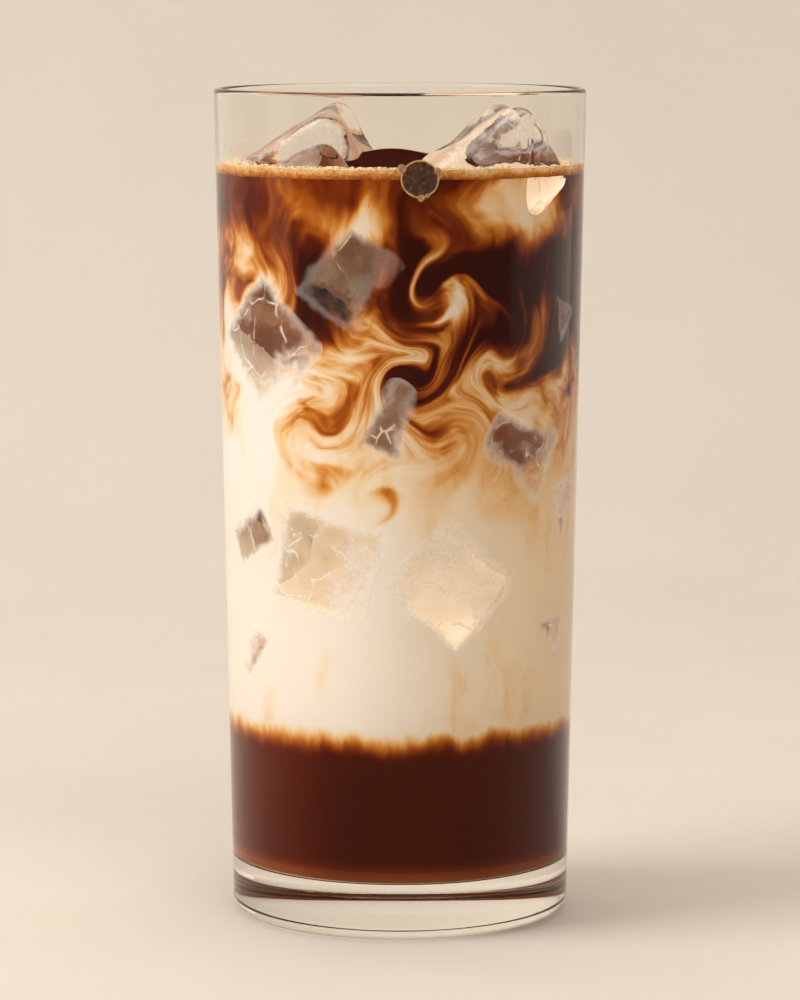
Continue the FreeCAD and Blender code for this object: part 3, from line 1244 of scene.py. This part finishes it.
def wall_bubble(x, z, radius, sides=32):
    """One bubble: flat where it presses against the glass, round behind."""
    rings = [(share, 0.0) for share in (0.25, 0.5, 0.7, 0.8, 0.9, 0.96, 1.0)]
    rings += [(0.97, 0.25), (0.85, 0.55), (0.6, 0.8), (0.3, 0.95)]

    def point(share, turn, depth):
        px = x + radius * share * math.cos(turn)
        pz = z + radius * share * math.sin(turn)
        reach = inner_radius(pz) + WALL_BUBBLE_REACH
        return px, -math.sqrt(reach ** 2 - px ** 2) + radius * depth, pz

    painted_highlight_share = 0.0 if radius > 1.0 else 0.93    # small bubbles are nearly all bright rim, a painted highlight
    points = [point(0, 0, 0)]
    away = [painted_highlight_share]
    for share, depth in rings:
        points += [point(share, 2 * math.pi * i / sides, depth) for i in range(sides)]
        away += [max(share, painted_highlight_share) if depth == 0 else 1.0] * sides
    points.append(point(0, 0, 1.0))
    away.append(1.0)
    faces = [(0, 1 + i, 1 + (i + 1) % sides) for i in range(sides)]
    for k in range(len(rings) - 1):
        for i in range(sides):
            a, b = 1 + k * sides + i, 1 + k * sides + (i + 1) % sides
            faces.append((a, a + sides, b + sides, b))
    last = len(points) - 1
    faces += [(last, last - sides + (i + 1) % sides, last - sides + i) for i in range(sides)]
    piece = make_piece("wall_bubble", points, faces, 50.0)
    store(piece, "from_middle", away)
    return piece


def make_wall_bubbles():
    """Flat-faced bubbles under the froth, dark inside with a bright rim round them: the rim is a
    painted highlight.
    """
    bubbles = joined("wall_bubbles", [wall_bubble(*bubble) for bubble in WALL_BUBBLES])
    coat(bubbles, wall_bubble_finish())
    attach(bubbles, "root")


def wall_bubble_finish():
    finish, recipe, surface = new_finish("bubble_at_the_glass")
    place = place_in_mm(recipe)
    away = recipe.mark("from_middle")
    specks = recipe.grain(place, 0.7, 3.0, 0.6)
    away = recipe.sway(away, specks, 0.10)
    inside = recipe.ramp(specks, ((0.35, srgb(38, 14, 5)), (0.7, srgb(98, 56, 26))))
    # painted highlight: the bright rim round each bubble, where light catches its curved edge
    rim = recipe.ease(away, 0.88, 0.97)
    colour = recipe.colour(rim, inside, srgb(226, 176, 116))
    gloss = recipe.ease(specks, 0.3, 0.7, 0.15, 0.3)
    recipe.feed(recipe.principled({"Base Color": colour, "Roughness": gloss}), surface)
    return finish


# ======== Stage, light and camera


def make_stage():
    """A pale floor that sweeps up into the backdrop."""
    near, far, side, bend = -2600.0, 620.0, 1600.0, 260.0
    profile = [(near, 0.0), (far - bend, 0.0)]
    profile += [
        (far - bend + bend * math.sin(t), bend - bend * math.cos(t))
        for t in np.linspace(0.05, math.pi / 2, 16)
    ]
    profile += [(far, 1500.0)]
    points, faces = [], []
    for y, z in profile:
        points += [(-side, y, z - 0.05), (side, y, z - 0.05)]
    for i in range(len(profile) - 1):
        faces.append((2 * i, 2 * i + 1, 2 * i + 3, 2 * i + 2))
    floor = make_piece("floor", points, faces, 60.0)
    floor.data.materials.append(stage_finish())


# The panels: name, place, size, power, the point they face and their colour.
LAMPS = (
    ("key_panel", (-0.97, -0.30, 0.88), (0.7, 0.7), 8.8, (0.0, 0.0, 0.07), (1.0, 0.99, 0.99)),
    ("right_panel", (0.487, 0.112, 0.045), (0.60, 0.09), 0.08, (0.0, 0.0, 0.045), (1.0, 0.86, 0.76)),
    ("left_strip", (-0.49, -0.11, 0.06), (0.16, 0.12), 0.05, (0.0, 0.0, 0.06), (1.0, 0.86, 0.74)),
    ("top_panel", (0.0, 0.2, 1.4), (1.2, 1.2), 3.6, (0.0, 0.2, 0.0), (1.0, 1.0, 1.0)),
    ("front_fill", (0.35, -0.80, 0.90), (0.7, 0.5), 3.6, (0.0, 0.0, 0.07), (1.0, 1.0, 1.0)),
)


def make_lamp(name, place, size, power, aim, colour):
    """A soft panel that faces the glass; place and aim in metres."""
    lamp = bpy.data.lights.new(name, "AREA")
    lamp.shape = "RECTANGLE"
    lamp.size, lamp.size_y = size
    lamp.energy = power
    lamp.color = colour
    holder = bpy.data.objects.new(name, lamp)
    direction = Vector(aim) - Vector(place)
    turn = direction.to_track_quat("-Z", "Y").to_matrix().to_4x4()
    holder.matrix_world = Matrix.Translation(place) @ turn
    bpy.context.scene.collection.objects.link(holder)


def room_light():
    """Warm light all round the glass, dim on the side it is looked at from."""
    world = bpy.data.worlds.new("room")
    world.use_nodes = True
    recipe = Recipe(world.node_tree)
    towards = recipe.add("ShaderNodeTexCoord").outputs["Generated"]
    x, y, _ = recipe.parts(towards)
    glow = recipe.ease(y, -0.95, -0.1, 0.18, 1.0)
    patches = recipe.grain(towards, 0.45, 1.0)
    glow = recipe.times(glow, recipe.ease(patches, 0.3, 0.65, 0.45, 1.15))
    glow = recipe.times(glow, recipe.ease(x, 0.1, 1.0, 1.0, 0.6))
    colour = recipe.colour(glow, srgb(20, 16, 12), srgb(235, 226, 212))
    background = world.node_tree.nodes["Background"]
    recipe.feed(colour, background.inputs["Color"])
    background.inputs["Strength"].default_value = 0.82
    return world


def make_light():
    scene = bpy.context.scene
    for lamp in LAMPS:
        make_lamp(*lamp)
    scene.world = room_light()
    scene.view_settings.view_transform = "Standard"


def make_camera():
    camera = bpy.data.cameras.new("camera")
    camera.lens = 154.8
    camera.sensor_width = 36.0
    holder = bpy.data.objects.new("camera", camera)
    holder.location = (0.0, -0.7763, 0.172)
    holder.rotation_euler = (math.radians(90.0 - 7.1), 0.0, 0.0)
    bpy.context.scene.collection.objects.link(holder)
    bpy.context.scene.camera = holder


FLOATING = floating_cubes()
SUNK = sunk_cubes()
make_glass()
make_ice(FLOATING, SUNK)
make_drink(FLOATING, SUNK)
make_bubbles(make_froth(FLOATING))
make_wall_bubbles()
make_stage()
make_light()
make_camera()
